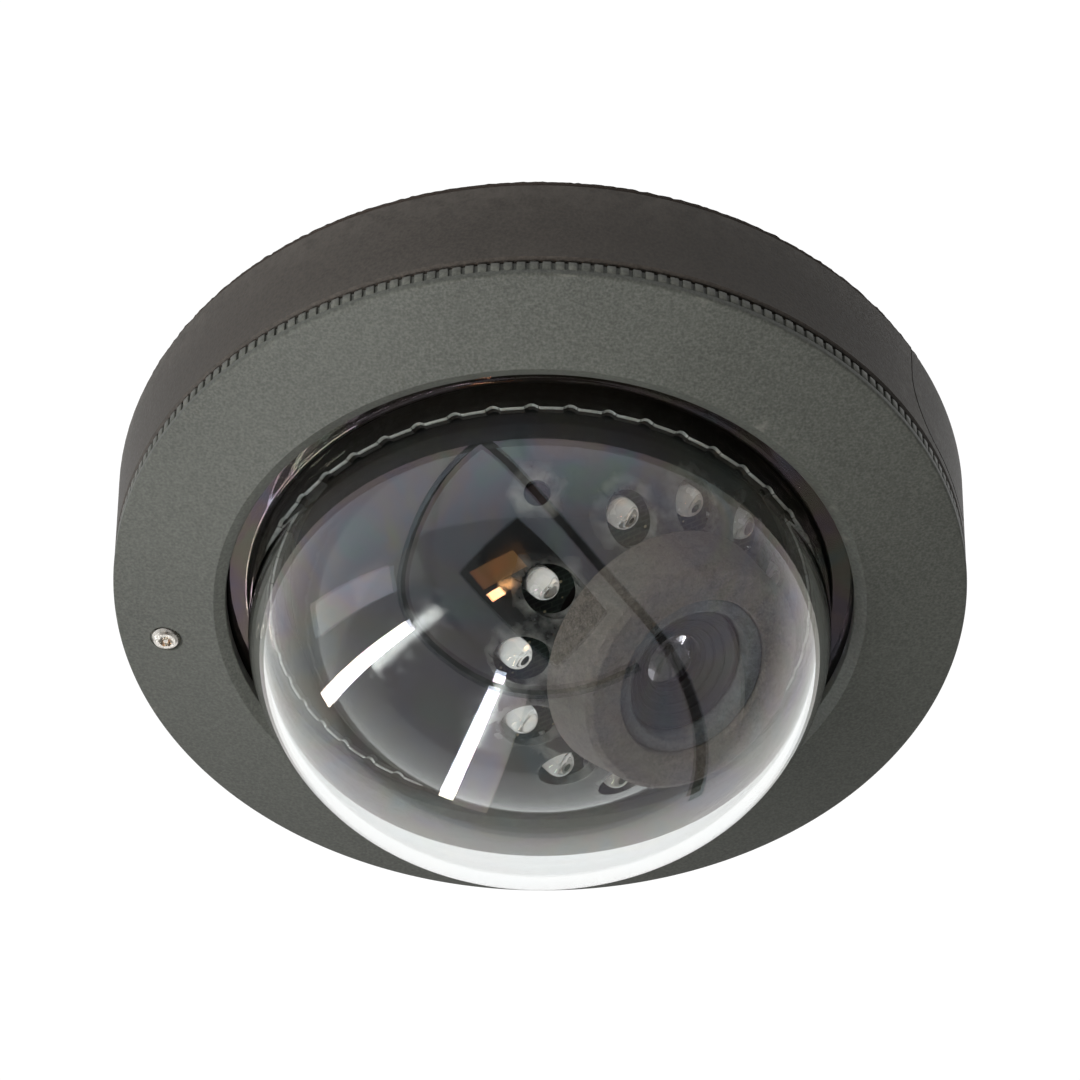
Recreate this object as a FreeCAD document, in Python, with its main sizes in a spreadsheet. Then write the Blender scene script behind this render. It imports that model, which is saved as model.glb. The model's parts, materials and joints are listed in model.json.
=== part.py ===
import FreeCAD, Part

import math
import os
import re

import Sketcher
from FreeCAD import Placement, Rotation, Vector

# Ceiling dome camera.  Millimetres, +Z up into the ceiling.  The origin is the centre of the face
# that lies against the ceiling, so the whole camera hangs below Z = 0.

DIMENSIONS = {
    # drum and cover, radii and heights measured from the ceiling face
    "gasket_thick": 1.5,
    "gasket_radius": 73.1,
    "drum_top_radius": 73.2,
    "drum_low_radius": 72.6,
    "drum_inner_radius": 69.8,
    "drum_low": -19.2,
    "plate_low": -4.0,
    "neck_radius": 69.2,
    "neck_inner_radius": 66.8,
    "neck_low": -21.6,
    "seal_section": 1.3,
    "cover_radius": 72.5,
    "cover_top": -19.6,
    "rim_low": -23.3,
    "opening_radius": 53.3,
    "opening_low": -26.3,
    "lip_width": 2.0,
    "lip_rise": 1.0,
    "cover_bore": 70.0,
    "cover_inner": -21.9,
    "seat_low": -22.9,
    "knurl_root": 72.05,
    "knurl_height": 2.0,
    "knurl_count": 220,
    "knurl_gap": 0.6,
    "bevel": 0.3,
    # clear dome
    "dome_radius": 49.2,
    "dome_depth": 37.4,
    "dome_wall": 2.4,
    "dome_shoulder": -30.5,
    "flange_radius": 60.0,
    "flange_low": -21.9,
    "flange_thick": 2.4,
    # ring that holds the dome
    "collar_radius": 46.6,
    "collar_inner": 45.3,
    "collar_low": -26.8,
    "ring_radius": 60.4,
    "ring_thick": 2.0,
    "scallop_count": 47,
    "scallop_radius": 1.1,
    "scallop_depth": 0.75,
    "lobe_circle": 63.0,
    "lobe_radius": 2.8,
    "ring_screw_radius": 1.1,
    "ring_screw_head": 1.9,
    # captive security screw
    "lock_circle": 64.4,
    "lock_azimuth": 173.4,
    "lock_boss_radius": 3.2,
    "lock_boss_low": -21.0,
    "lock_head_radius": 2.45,
    "lock_head_low": -25.3,
    "lock_seat": -24.0,
    "lock_shank_radius": 1.45,
    "lock_shank_top": -13.0,
    # holes in the back plate
    "fixing_circle": 62.0,
    "fixing_hole": 2.5,
    "cable_offset": 22.0,
    "cable_hole": 8.0,
    "cable_bore": 4.0,
    "entry_azimuth": -20.0,
    "entry_half_width": 15.5,
    "entry_low": -17.0,
    "entry_corner": 9.0,
    "entry_gap": 0.3,
    "entry_inside": 62.0,
    "entry_outside": 80.0,
    # pan ring and its retainer
    "pan_top": -4.4,
    "pan_thick": 2.5,
    "pan_inner": 45.4,
    "pan_outer": 52.7,
    "arm_thick": 3.0,
    "arm_half_width": 6.5,
    "arm_low": -17.0,
    "arm_corner": 4.0,
    "retainer_inner": 53.0,
    "retainer_outer": 57.2,
    "retainer_lip": 51.0,
    "retainer_low": -8.4,
    "retainer_screw_circle": 55.1,
    "retainer_screw": 1.2,
    "retainer_screw_head": 2.0,
    # ball: every dimension along the lens axis is measured from the centre of the ball
    "ball_radius": 44.2,
    "ball_wall": 1.8,
    "ball_centre": -11.2,
    "ball_rim": -20.0,
    "ear_radius": 5.8,
    "lens_azimuth": -24.5,
    "lens_tilt": 34.0,
    "pivot_radius": 1.5,
    "pivot_head": 2.6,
    "washer_radius": 3.4,
    "nut_radius": 3.0,
    "lamp_count": 12,
    "lamp_circle": 24.6,
    "lamp_hole": 4.2,
    "lamp_radius": 2.5,
    "lamp_seat": 28.2,
    "lamp_height": 8.2,
    "lamp_step": 29.0,
    "sensor_angle": 272.5,
    "cell_polar": 49.8,
    "cell_radius": 1.9,
    "lamp_board_inner": 14.2,
    "lamp_board_outer": 27.4,
    "board_thick": 1.6,
    "hood_root": 21.8,
    "hood_front": 19.9,
    "hood_inner": 13.7,
    "hood_reach": 49.0,
    "hood_step_reach": 48.0,
    "hood_bore": 11.3,
    "barrel_front_radius": 10.9,
    "barrel_radius": 7.4,
    "barrel_front": 45.6,
    "barrel_shoulder": 38.6,
    "barrel_rear": 22.0,
    "front_glass_radius": 5.3,
    "front_glass_depth": 2.6,
    "ring_depth": 2.6,
    "board_width": 32.0,
    "sensor_board_face": 18.6,
    "power_board_face": 10.6,
    "post_spacing": 26.0,
}

doc = FreeCAD.newDocument("dome_camera")
sheet = doc.addObject("Spreadsheet::Sheet", "Dimensions")
for row, (alias, number) in enumerate(DIMENSIONS.items(), start=1):
    sheet.set("A%d" % row, alias)
    sheet.set("B%d" % row, str(number))
    sheet.setAlias("B%d" % row, alias)
doc.recompute()

WORD = re.compile(r"[a-z_]+")
parts = []


def bound(expression):
    """The expression with each dimension's name pointing at its cell in the sheet."""
    def pointed(match):
        word = match.group()
        return "Dimensions." + word if word in DIMENSIONS else word

    return WORD.sub(pointed, expression)


def size(expression):
    """The number that an expression of dimensions comes to."""
    return float(sheet.evalExpression(expression))


def keep(thing, label):
    """Names a finished sub-part and puts it on the list that is written out."""
    thing.Label = label
    parts.append(thing)
    return thing


# ---- sketches and bodies --------------------------------------------------------------------


def origin_plane(body, role):
    return [plane for plane in body.Origin.OriginFeatures if plane.Role == role][0]


def new_sketch(body, name, role, height="0"):
    sketch = body.newObject("Sketcher::SketchObject", name)
    sketch.AttachmentSupport = [(origin_plane(body, role), "")]
    sketch.MapMode = "FlatFace"
    sketch.setExpression(".AttachmentOffset.Base.z", bound(height))
    return sketch


def fix_point(sketch, geometry, end, place):
    """Ties a point to the sketch's origin with two bound distances."""
    for kind, expression in zip(("DistanceX", "DistanceY"), place):
        constraint = Sketcher.Constraint(kind, -1, 1, geometry, end, size(expression))
        number = sketch.addConstraint(constraint)
        sketch.setExpression("Constraints[%d]" % number, bound(expression))


def draw_outline(sketch, corners):
    """A closed outline of straight lines through corners given as pairs of expressions."""
    spots = [Vector(size(x), size(y), 0) for x, y in corners]
    for here, there in zip(spots, spots[1:] + spots[:1]):
        sketch.addGeometry(Part.LineSegment(here, there), False)
    count = len(corners)
    for line in range(count):
        sketch.addConstraint(Sketcher.Constraint("Coincident", line, 2, (line + 1) % count, 1))
    for line, place in enumerate(corners):
        fix_point(sketch, line, 1, place)


def draw_circles(sketch, circles):
    """Circles given as (x, y, radius) expressions."""
    for x, y, radius in circles:
        circle = Part.Circle(Vector(size(x), size(y), 0), Vector(0, 0, 1), size(radius))
        geometry = sketch.addGeometry(circle, False)
        number = sketch.addConstraint(Sketcher.Constraint("Radius", geometry, size(radius)))
        sketch.setExpression("Constraints[%d]" % number, bound(radius))
        fix_point(sketch, geometry, 3, (x, y))


def turned(name, corners, place=Placement()):
    """A body turned about its own Z axis from an outline of (radius, height) corners."""
    body = doc.addObject("PartDesign::Body", name)
    sketch = new_sketch(body, name + "_outline", "XZ_Plane")
    draw_outline(sketch, corners)
    turn = body.newObject("PartDesign::Revolution", name + "_turn")
    turn.Profile = sketch
    turn.ReferenceAxis = (sketch, ["V_Axis"])
    turn.Angle = 360
    sketch.Visibility = False
    body.Placement = place
    return body


def add_bosses(body, name, circles, low, height):
    sketch = new_sketch(body, name + "_circles", "XY_Plane", low)
    draw_circles(sketch, circles)
    pad = body.newObject("PartDesign::Pad", name)
    pad.Profile = sketch
    pad.setExpression("Length", bound(height))


def drill(body, name, circles, top, depth):
    """Round holes cut downwards from a height."""
    sketch = new_sketch(body, name + "_circles", "XY_Plane", top)
    draw_circles(sketch, circles)
    doc.recompute()
    before = body.Shape.Volume
    pocket = body.newObject("PartDesign::Pocket", name)
    pocket.Profile = sketch
    pocket.setExpression("Length", bound(depth))
    doc.recompute()
    if body.Shape.Volume >= before - 0.01:
        raise RuntimeError(name + " cut nothing")


def padded(name, circles, low, height, place=Placement()):
    """A flat piece whose outline and holes are circles."""
    body = doc.addObject("PartDesign::Body", name)
    add_bosses(body, name + "_pad", circles, low, height)
    body.Placement = place
    return body


def on_circle(radius, angles, hole):
    """Circles spaced on a pitch circle, for draw_circles; angles are in degrees."""
    return [("%s * cos(%s)" % (radius, a), "%s * sin(%s)" % (radius, a), hole) for a in angles]


# ---- primitives and booleans ----------------------------------------------------------------


def primitive(kind, name, place=Placement(), **sizes):
    thing = doc.addObject("Part::" + kind, name)
    for key, expression in sizes.items():
        thing.setExpression(key, bound(expression))
    thing.Placement = place
    return thing


def fused(name, things, place=Placement()):
    result = doc.addObject("Part::MultiFuse", name)
    result.Shapes = things
    result.Placement = place
    return result


def cut(name, base, tool, place=Placement()):
    result = doc.addObject("Part::Cut", name)
    result.Base = base
    result.Tool = tool
    result.Placement = place
    return result


def common(name, first, second, place=Placement()):
    result = doc.addObject("Part::MultiCommon", name)
    result.Shapes = [first, second]
    result.Placement = place
    return result


def grouped(name, things, place=Placement()):
    result = doc.addObject("Part::Compound", name)
    result.Links = things
    result.Placement = place
    return result


def box(name, width, depth, height, low, place=Placement()):
    """A box centred on the Z axis that starts at a height of low."""
    corner = aside(-size(width) / 2, -size(depth) / 2, size(low))
    return primitive("Box", name, place * corner, Length=width, Width=depth, Height=height)


def rod(name, radius, height, low="0", place=Placement()):
    return primitive("Cylinder", name, place * aside(0, 0, size(low)), Radius=radius, Height=height)


def tube(name, outer, inner, height, low="0", place=Placement()):
    """A plain ring or tube, as a body with a round hole."""
    return padded(name, [("0", "0", outer), ("0", "0", inner)], low, height, place)


def aside(x, y, z=0.0):
    return Placement(Vector(x, y, z), Rotation())


def about_z(degrees):
    return Placement(Vector(), Rotation(Vector(0, 0, 1), degrees))


# ---- frames: the pan frame turns with the lens azimuth, the head frame points along the lens --

PAN = about_z(size("lens_azimuth"))
TO_NADIR = Placement(Vector(0, 0, size("ball_centre")), Rotation(Vector(0, 1, 0), 180.0))
HEAD = PAN * TO_NADIR * Placement(Vector(), Rotation(Vector(0, 1, 0), -size("lens_tilt")))
ALONG_Y = Rotation(Vector(1, 0, 0), -90)
LAMP_ANGLES = [
    size("sensor_angle") + 180.0 + size("lamp_step") * (index - (size("lamp_count") - 1) / 2.0)
    for index in range(int(size("lamp_count")))
]
FIXING_ANGLES = ("75", "195", "315")
RETAINER_ANGLES = ("30", "150", "270")
LOBE_ANGLES = ("45", "135", "225", "315")
LOCK = [("lock_circle * cos(lock_azimuth)", "lock_circle * sin(lock_azimuth)")]


def lock_circle(radius):
    return [(x, y, radius) for x, y in LOCK]


# ---- drum: base housing, gasket, seals, entries ---------------------------------------------


def entry_prism(name, margin, reach_low, reach_high):
    """The U of the side cable entry, standing proud of the drum wall by the given reach."""
    width = "(entry_half_width + %s) * 2" % margin
    depth = "%s - %s" % (reach_high, reach_low)
    low = "entry_low - %s" % margin
    height = "0 - gasket_thick - (%s) + 1" % low
    block = primitive("Box", name + "_block", Length=depth, Width=width, Height=height)
    block.Placement = aside(size(reach_low), -size(width) / 2, size(low))
    rounded = doc.addObject("Part::Fillet", name)
    rounded.Base = block
    doc.recompute()
    corner = size("entry_corner")
    bottom = [
        (number, corner, corner)
        for number, edge in enumerate(block.Shape.Edges, start=1)
        if edge.BoundBox.XLength > 1 and edge.BoundBox.ZMax < size(low) + 0.01
    ]
    rounded.Edges = bottom
    rounded.Placement = about_z(size("entry_azimuth"))
    return rounded


def base_housing():
    body = turned(
        "drum",
        [
            ("0", "-gasket_thick"),
            ("drum_top_radius", "-gasket_thick"),
            ("drum_low_radius", "drum_low + 0.4"),
            ("drum_low_radius - 0.4", "drum_low"),
            ("neck_radius", "drum_low"),
            ("neck_radius", "drum_low - 0.4"),
            ("neck_radius - 1", "drum_low - 0.4"),
            ("neck_radius - 1", "drum_low - 0.6 - seal_section"),
            ("neck_radius", "drum_low - 0.6 - seal_section"),
            ("neck_radius", "neck_low"),
            ("neck_inner_radius", "neck_low"),
            ("neck_inner_radius", "drum_low + 1.5"),
            ("drum_inner_radius", "drum_low + 4.5"),
            ("drum_inner_radius", "plate_low"),
            ("0", "plate_low"),
        ],
    )
    add_bosses(body, "lock_boss", lock_circle("lock_boss_radius"), "lock_boss_low", "plate_low - lock_boss_low")
    drill(body, "lock_bore", lock_circle("lock_shank_radius + 0.1"), "lock_shank_top + 1", "10")
    top = "0 - gasket_thick"
    drill(body, "fixing_holes", on_circle("fixing_circle", FIXING_ANGLES, "fixing_hole"), top, "4")
    drill(body, "cable_hole", [("0", "cable_offset", "cable_hole")], top, "4")
    screws = on_circle("retainer_screw_circle", RETAINER_ANGLES, "retainer_screw + 0.05")
    drill(body, "retainer_holes", screws, "plate_low + 1.6", "2")
    notch = entry_prism("entry_notch", "entry_gap", "entry_inside", "entry_outside")
    flange_room = entry_prism("entry_flange_room", "2.2", "entry_inside", "drum_inner_radius + 0.2")
    notched = cut("notched_drum", body, notch)
    return keep(cut("finished_drum", notched, flange_room), "base_housing")


def side_entry_cap():
    """The plug of the side cable entry: a curved outer face and a wider flange inside the wall."""
    wall = turned(
        "cap_wall",
        [
            ("drum_inner_radius - 0.6", "-gasket_thick"),
            ("drum_top_radius", "-gasket_thick"),
            ("drum_low_radius", "drum_low"),
            ("drum_inner_radius - 0.6", "drum_low"),
        ],
    )
    plug = common("cap_plug", wall, entry_prism("cap_outline", "0", "entry_inside", "entry_outside"))
    skin = turned(
        "cap_skin",
        [
            ("drum_inner_radius - 2", "-gasket_thick"),
            ("drum_inner_radius - 0.1", "-gasket_thick"),
            ("drum_inner_radius - 0.1", "drum_low"),
            ("drum_inner_radius - 2", "drum_low"),
        ],
    )
    outline = entry_prism("cap_flange_outline", "1.9", "entry_inside", "entry_outside")
    flange = common("cap_flange", skin, outline)
    cap = fused("cap_solid", [plug, flange])
    rest = primitive("Box", "cap_plate_room", Length="30", Width="60", Height="4")
    rest.Placement = about_z(size("entry_azimuth")) * aside(50, -30, size("plate_low"))
    plate_edge = rod("cap_plate_edge", "drum_inner_radius - 0.1", "6", "-6")
    return keep(cut("cap", cap, common("cap_plate_cut", rest, plate_edge)), "side_entry_cap")


def mounting_gasket():
    circles = [("0", "0", "gasket_radius"), ("0", "cable_offset", "cable_hole")]
    circles += on_circle("fixing_circle", FIXING_ANGLES, "fixing_hole")
    keep(padded("gasket", circles, "-gasket_thick", "gasket_thick"), "mounting_gasket")


def cable_grommet():
    """A rubber bush in the plate's cable hole, with a flange on its inner side."""
    place = aside(0, size("cable_offset"))
    grommet = turned(
        "grommet",
        [
            ("cable_bore", "0"),
            ("cable_hole - 0.05", "0"),
            ("cable_hole - 0.05", "plate_low"),
            ("cable_hole + 2", "plate_low"),
            ("cable_hole + 1.6", "plate_low - 1.2"),
            ("cable_bore", "plate_low - 1.2"),
        ],
        place,
    )
    keep(grommet, "cable_grommet")


def cover_seal():
    middle = "drum_low - 0.5 - seal_section / 2"
    section = "seal_section / 2 - 0.05"
    place = aside(0, 0, size(middle))
    ring = primitive("Torus", "seal_ring", place, Radius1="neck_radius - 0.4", Radius2=section)
    keep(ring, "cover_seal")


# ---- cover: bezel, dome, seal, retaining ring, screws ---------------------------------------


def knurled_band():
    """The band of fine square upright teeth round the edge of the cover, for grip."""
    count = int(size("knurl_count"))
    width = 360.0 / count - math.degrees(size("knurl_gap / cover_radius"))
    root, tip = size("knurl_root"), size("cover_radius")
    spots = []
    for tooth in range(count):
        start = 360.0 * tooth / count
        for angle, radius in ((0, root), (0, tip), (width, tip), (width, root)):
            turn = Rotation(Vector(0, 0, 1), start + angle)
            spots.append(turn.multVec(Vector(radius, 0, 0)))
    teeth = Part.Face(Part.makePolygon(spots + spots[:1])).extrude(Vector(0, 0, size("knurl_height")))
    core = Part.makeCylinder(size("cover_bore") + 1, size("knurl_height"))
    band = doc.addObject("Part::Feature", "knurled_band")
    band.Shape = teeth.cut(core)
    band.Placement = aside(0, 0, size("cover_top - bevel - knurl_height"))
    return band


def cover_bezel():
    body = turned(
        "cover_turning",
        [
            ("cover_bore", "cover_top"),
            ("knurl_root - bevel", "cover_top"),
            ("knurl_root", "cover_top - bevel"),
            ("knurl_root", "cover_top - bevel - knurl_height"),
            ("cover_radius", "cover_top - bevel - knurl_height"),
            ("cover_radius", "rim_low + bevel"),
            ("cover_radius - 0.6", "rim_low - 0.2"),
            ("opening_radius + lip_width", "opening_low"),
            ("opening_radius", "opening_low + lip_rise"),
            ("opening_radius", "seat_low"),
            ("flange_radius + 0.4", "seat_low"),
            ("flange_radius + 0.4", "cover_inner"),
            ("cover_bore", "cover_inner"),
        ],
    )
    add_bosses(body, "ring_bosses", on_circle("lobe_circle", LOBE_ANGLES, "2.2"), "cover_inner", "flange_thick")
    doc.recompute()
    pins = on_circle("lobe_circle", LOBE_ANGLES, "ring_screw_radius + 0.05")
    drill(body, "ring_screw_holes", pins, "cover_inner + flange_thick", "3.4")
    drill(body, "lock_hole", lock_circle("lock_shank_radius + 0.15"), "cover_inner + 1", "8")
    drill(body, "lock_counterbore", lock_circle("lock_head_radius + 0.35"), "lock_seat", "4")
    keep(fused("cover_solid", [body, knurled_band()]), "cover_bezel")


def half_ellipsoid(name, radius, depth, place):
    sizes = {"Radius1": depth, "Radius2": radius, "Radius3": radius, "Angle1": "-90", "Angle2": "0"}
    return primitive("Ellipsoid", name, place, **sizes)


def clear_dome():
    """A bubble of clear plastic: elliptical end, short straight skirt and a flat flange."""
    shoulder = aside(0, 0, size("dome_shoulder"))
    skirt_height = "flange_low + flange_thick - dome_shoulder"
    inner_radius = "dome_radius - dome_wall"
    outside = fused(
        "dome_outside",
        [
            half_ellipsoid("dome_end", "dome_radius", "dome_depth", shoulder),
            rod("dome_skirt", "dome_radius", skirt_height, "dome_shoulder"),
            rod("dome_flange", "flange_radius", "flange_thick", "flange_low"),
        ],
    )
    inside = fused(
        "dome_inside",
        [
            half_ellipsoid("dome_end_inside", inner_radius, "dome_depth - dome_wall", shoulder),
            rod("dome_skirt_inside", inner_radius, skirt_height + " + 1", "dome_shoulder"),
        ],
    )
    keep(cut("dome_solid", outside, inside), "clear_dome")


def dome_seal():
    seal = tube("dome_gasket", "flange_radius", "opening_radius + 0.6", "flange_low - seat_low", "seat_low")
    keep(seal, "dome_seal")


def dome_retaining_ring():
    """The ring that clamps the dome, with a finger-grip collar whose edge is scalloped."""
    top = "flange_low + flange_thick + ring_thick"
    body = turned(
        "ring_turning",
        [
            ("collar_inner", top),
            ("ring_radius", top),
            ("ring_radius", "flange_low + flange_thick"),
            ("collar_radius", "flange_low + flange_thick"),
            ("collar_radius", "collar_low"),
            ("collar_inner", "collar_low"),
        ],
    )
    low = "flange_low + flange_thick"
    add_bosses(body, "lobes", on_circle("lobe_circle", LOBE_ANGLES, "lobe_radius"), low, "ring_thick")
    doc.recompute()
    drill(body, "lobe_holes", on_circle("lobe_circle", LOBE_ANGLES, "ring_screw_radius + 0.05"), top, "3")
    count = int(size("scallop_count"))
    bites = []
    lift = aside(size("collar_radius") - 3, 0, size("collar_low + scallop_depth - scallop_radius"))
    sideways = Placement(Vector(), Rotation(Vector(0, 1, 0), 90))
    for number in range(count):
        bite = rod("scallop", "scallop_radius", "4")
        bite.Placement = about_z(360.0 * number / count) * lift * sideways
        bites.append(bite)
    keep(cut("ring_solid", body, grouped("scallops", bites)), "dome_retaining_ring")


def pan_head_screw(name, shank, head, length, place, head_height="1.4"):
    """A small screw whose head sits above Z = 0 with its shank below; a cross recess is cut in."""
    top = rod(name + "_head", head, head_height)
    body = fused(name + "_body", [top, rod(name + "_shank", shank, length, "-" + length)])
    slot = "%s * 1.2" % head
    arms = [
        box(name + "_slot_a", slot, "0.5", "1", head_height + " - 0.7"),
        box(name + "_slot_b", "0.5", slot, "1", head_height + " - 0.7"),
    ]
    return cut(name, body, fused(name + "_cross", arms), place)


def ring_screws():
    out = aside(size("lobe_circle"), 0, size("flange_low + flange_thick + ring_thick"))
    screws = [
        pan_head_screw("ring_screw", "ring_screw_radius", "ring_screw_head", "4.6", about_z(float(angle)) * out)
        for angle in LOBE_ANGLES
    ]
    keep(grouped("ring_screw_set", screws), "ring_screws")


def security_screw():
    """Captive button-head screw with a six-sided socket and a centre pin."""
    head_height = "lock_seat - lock_head_low"
    body = turned(
        "lock_turning",
        [
            ("0", "lock_shank_top"),
            ("lock_shank_radius - 0.5", "lock_shank_top"),
            ("lock_shank_radius", "lock_shank_top - 0.5"),
            ("lock_shank_radius", "lock_seat - 0.05"),
            ("lock_head_radius", "lock_seat - 0.05"),
            ("lock_head_radius", "lock_seat - 0.5"),
            ("lock_head_radius - 0.35", "lock_head_low + 0.25"),
            ("lock_head_radius - 0.8", "lock_head_low"),
            ("0", "lock_head_low"),
        ],
    )
    low = aside(0, 0, size("lock_head_low") - 0.1)
    socket = primitive("Prism", "lock_socket", low, Circumradius="1.3", Height=head_height + " - 0.3")
    socket.Polygon = 6
    pin = rod("lock_pin", "0.4", "2", "lock_head_low - 0.2")
    place = aside(size(LOCK[0][0]), size(LOCK[0][1]))
    keep(cut("lock_screw", body, cut("lock_recess", socket, pin), place), "security_screw")


def screw_retaining_washer():
    """The small rubber washer that keeps the security screw captive inside the cover."""
    place = aside(size(LOCK[0][0]), size(LOCK[0][1]))
    washer = tube("captive_washer", "2.2", "lock_shank_radius + 0.02", "0.5", "cover_inner", place)
    keep(washer, "screw_retaining_washer")


# ---- pan ring, retainer, pivots -------------------------------------------------------------


def gimbal_retainer():
    body = turned(
        "retainer",
        [
            ("retainer_inner", "plate_low"),
            ("retainer_outer", "plate_low"),
            ("retainer_outer", "retainer_low"),
            ("retainer_lip", "retainer_low"),
            ("retainer_lip", "retainer_low + 1.2"),
            ("retainer_inner", "retainer_low + 1.2"),
        ],
    )
    screws = on_circle("retainer_screw_circle", RETAINER_ANGLES, "retainer_screw + 0.05")
    drill(body, "retainer_screw_holes", screws, "plate_low", "6")
    keep(body, "gimbal_retainer")
    flip = Placement(Vector(), Rotation(Vector(1, 0, 0), 180))
    out = aside(size("retainer_screw_circle"), 0, size("retainer_low")) * flip
    places = [about_z(float(angle)) * out for angle in RETAINER_ANGLES]
    heads = [
        pan_head_screw("retainer_fixing", "retainer_screw", "retainer_screw_head", "5.6", place)
        for place in places
    ]
    keep(grouped("retainer_screw_set", heads), "retainer_screws")


def pan_yoke():
    """The turning ring with its two arms; the arms carry the tilt pivots."""
    ring = tube("pan_ring", "pan_outer", "pan_inner", "pan_thick", "pan_top - pan_thick")
    arms = []
    for side in (-1, 1):
        height = "pan_top - arm_low"
        arm = primitive("Box", "arm", Length="arm_half_width * 2", Width="arm_thick", Height=height)
        near = size("pan_inner") if side > 0 else -size("pan_inner + arm_thick")
        arm.Placement = aside(-size("arm_half_width"), near, size("arm_low"))
        rounded = doc.addObject("Part::Fillet", "rounded_arm")
        rounded.Base = arm
        doc.recompute()
        corner = size("arm_corner")
        rounded.Edges = [
            (number, corner, corner)
            for number, edge in enumerate(arm.Shape.Edges, start=1)
            if edge.BoundBox.YLength > 1 and edge.BoundBox.ZMax < size("arm_low") + 0.01
        ]
        arms.append(rounded)
    bore = rod("pivot_bores", "pivot_radius + 0.07", "120", "-60")
    bore.Placement = Placement(Vector(0, -60, size("ball_centre")), ALONG_Y)
    keep(cut("yoke", fused("yoke_solid", [ring] + arms), bore, PAN), "pan_yoke")


def side_places(distance):
    """Both ends of the tilt axis, with local Z pointing outwards, in the pan frame."""
    out = Placement(Vector(0, distance, size("ball_centre")), ALONG_Y)
    return [PAN * about_z(turn) * out for turn in (0, 180)]


def pivots():
    screws = [
        pan_head_screw("pivot", "pivot_radius", "pivot_head", "7.6", place, "1.7")
        for place in side_places(size("pan_inner + arm_thick") + 0.1)
    ]
    keep(grouped("pivot_set", screws), "tilt_pivot_screws")
    washers = [
        tube("friction_washer", "washer_radius", "pivot_radius + 0.07", "1", "0", place)
        for place in side_places(size("ball_radius") + 0.15)
    ]
    keep(grouped("washer_set", washers), "friction_washers")
    nuts = []
    for place in side_places(size("ball_radius - ball_wall") - 2.5):
        block = primitive("Prism", "nut_block", Circumradius="nut_radius", Height="2.2")
        block.Polygon = 6
        hole = rod("nut_hole", "pivot_radius + 0.02", "3", "-0.4")
        nuts.append(cut("pivot_nut", block, hole, place))
    keep(grouped("nut_set", nuts), "pivot_nuts")


# ---- ball: shell, lamps, hood ---------------------------------------------------------------


def ball_shell():
    centre = aside(0, 0, size("ball_centre"))
    shell = cut(
        "whole_shell",
        primitive("Sphere", "ball_outside", centre, Radius="ball_radius"),
        primitive("Sphere", "ball_inside", centre, Radius="ball_radius - ball_wall"),
    )
    wide = "ball_radius * 2 + 4"
    zones = [box("ball_zone", wide, wide, "ball_rim + 60", "-60")]
    neck = box("ear_zone", "ear_radius * 2", wide, "ball_centre - ball_rim + 2", "ball_rim - 2")
    eye = rod("eye_zone", "ear_radius", wide)
    eye.Placement = Placement(Vector(0, -size(wide) / 2, size("ball_centre")), ALONG_Y)
    zones += [neck, eye]
    kept = common("cut_shell", shell, fused("shell_zones", zones, PAN))
    tools = [rod("lens_opening", "hood_bore + 1.6", "30", "25")]
    out = aside(size("lamp_circle"), 0)
    tools += [rod("lamp_opening", "lamp_hole", "20", "32", about_z(angle) * out) for angle in LAMP_ANGLES]
    tools.append(rod("cell_opening", "cell_radius + 0.25", "12", "36", cell_direction()))
    drills = fused("head_openings", tools, HEAD)
    pivot_bore = rod("ear_bores", "pivot_radius + 0.02", "120")
    pivot_bore.Placement = PAN * Placement(Vector(0, -60, size("ball_centre")), ALONG_Y)
    keep(cut("ball", kept, fused("ball_openings", [drills, pivot_bore])), "ball_shell")


def cell_direction():
    """Local Z turned from the lens axis towards the light sensor."""
    lean = Placement(Vector(), Rotation(Vector(0, 1, 0), size("cell_polar")))
    return about_z(size("sensor_angle")) * lean


def light_sensor():
    reach = "ball_radius - ball_wall - 2"
    keep(rod("sensor_cell", "cell_radius", "2.6", reach, HEAD * cell_direction()), "light_sensor")


def lamps():
    lamp_list = []
    tip = aside(0, 0, size("lamp_seat + lamp_height - lamp_radius"))
    for angle in LAMP_ANGLES:
        pieces = [
            rod("lamp_flange", "lamp_radius + 0.4", "1", "lamp_seat"),
            rod("lamp_case", "lamp_radius", "lamp_height - lamp_radius", "lamp_seat"),
            primitive("Sphere", "lamp_tip", tip, Radius="lamp_radius"),
        ]
        lamp_list.append(fused("lamp", pieces, about_z(angle) * aside(size("lamp_circle"), 0)))
    keep(grouped("lamp_set", lamp_list, HEAD), "infrared_lamps")
    circles = [("0", "0", "lamp_board_outer"), ("0", "0", "lamp_board_inner")]
    board = padded("lamp_carrier", circles, "lamp_seat - board_thick", "board_thick", HEAD)
    keep(board, "lamp_board")


def hood():
    """Two felt rings round the lens: the outer one reaches the dome, the inner one is stepped back."""
    ball = primitive("Sphere", "hood_seat", Radius="ball_radius + 0.03")
    outer = turned(
        "hood_cone",
        [
            ("hood_inner", "36"),
            ("hood_root", "36"),
            ("hood_front", "hood_reach - 1"),
            ("hood_front - 1", "hood_reach"),
            ("hood_inner", "hood_reach"),
        ],
    )
    keep(cut("hood_outer", outer, ball, HEAD), "felt_hood")
    inner = tube("hood_sleeve", "hood_inner - 0.02", "hood_bore", "hood_step_reach - 38", "38")
    seat = primitive("Sphere", "sleeve_seat", Radius="ball_radius + 0.03")
    keep(cut("hood_step", inner, seat, HEAD), "felt_inner_ring")


# ---- camera module: boards, sensor, lens ----------------------------------------------------


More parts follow.
